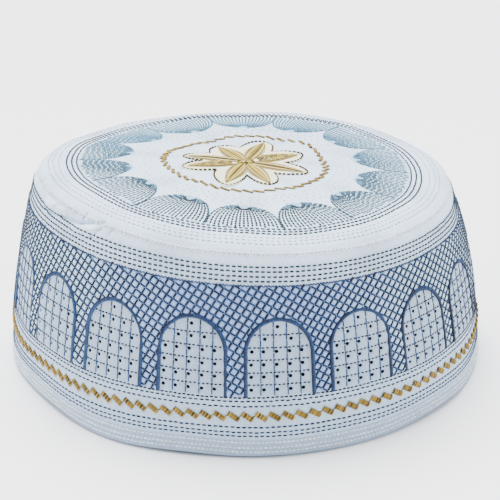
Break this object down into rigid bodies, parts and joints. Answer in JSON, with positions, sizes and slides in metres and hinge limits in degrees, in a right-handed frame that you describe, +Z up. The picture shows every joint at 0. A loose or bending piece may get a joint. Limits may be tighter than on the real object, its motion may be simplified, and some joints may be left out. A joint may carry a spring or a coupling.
{
  "type": "prayer cap",
  "caption": "Round embroidered prayer cap with a flat crown, a tall flared side band of arched windows and an open head hollow below.",
  "frame": {"origin": "middle of the hem on the surface that the cap stands on", "axes": "+Z up towards the crown, the front of the cap faces -Y"},
  "size_m": [0.1944, 0.184, 0.0839],
  "materials": {
    "cotton": "matt quilted white cotton",
    "blue_satin": "shiny blue satin stitch thread",
    "gold_thread": "lustrous gold coloured embroidery thread"
  },
  "bodies": {
    "root": {"crown": "cotton", "side_band": "cotton", "satin_arch_01": "blue_satin", "satin_arch_02": "blue_satin", "satin_arch_03": "blue_satin", "satin_arch_04": "blue_satin", "satin_arch_05": "blue_satin", "satin_arch_06": "blue_satin", "satin_arch_07": "blue_satin", "satin_arch_08": "blue_satin", "satin_arch_09": "blue_satin", "satin_arch_10": "blue_satin", "satin_arch_11": "blue_satin", "satin_arch_12": "blue_satin", "satin_arch_13": "blue_satin", "satin_arch_14": "blue_satin", "satin_arch_15": "blue_satin", "satin_arch_16": "blue_satin", "satin_arch_17": "blue_satin", "satin_arch_18": "blue_satin", "gold_twist_band": "gold_thread", "gold_ring": "gold_thread", "flower": "gold_thread"}
  },
  "joints": []
}
